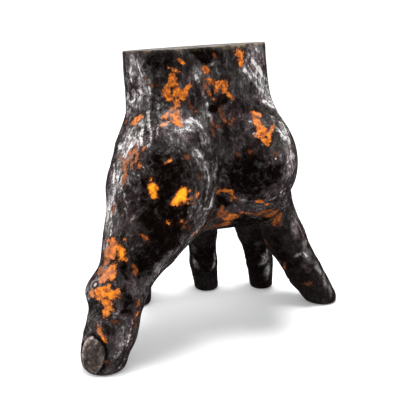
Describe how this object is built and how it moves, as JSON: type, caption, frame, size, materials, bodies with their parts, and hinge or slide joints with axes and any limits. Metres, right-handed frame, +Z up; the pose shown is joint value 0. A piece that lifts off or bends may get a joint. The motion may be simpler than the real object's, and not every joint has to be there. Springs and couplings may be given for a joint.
{
  "type": "stone hand carving",
  "caption": "Right hand carved from dark polished stone with bright orange mineral patches, standing on its fingertips; an ornament, paperweight or stand with a flat sawn wrist on top.",
  "frame": {"origin": "on the floor under the middle of the hand", "axes": "+Z up from the fingertips to the wrist, +X from the thumb side to the little-finger side, +Y from the palm to the back of the hand"},
  "size_m": [0.1167, 0.0748, 0.1122],
  "materials": {
    "stone": "polished near-black stone with pale fibrous veins and bright orange patches"
  },
  "bodies": {
    "root": {"carved_hand": "stone"}
  },
  "joints": []
}
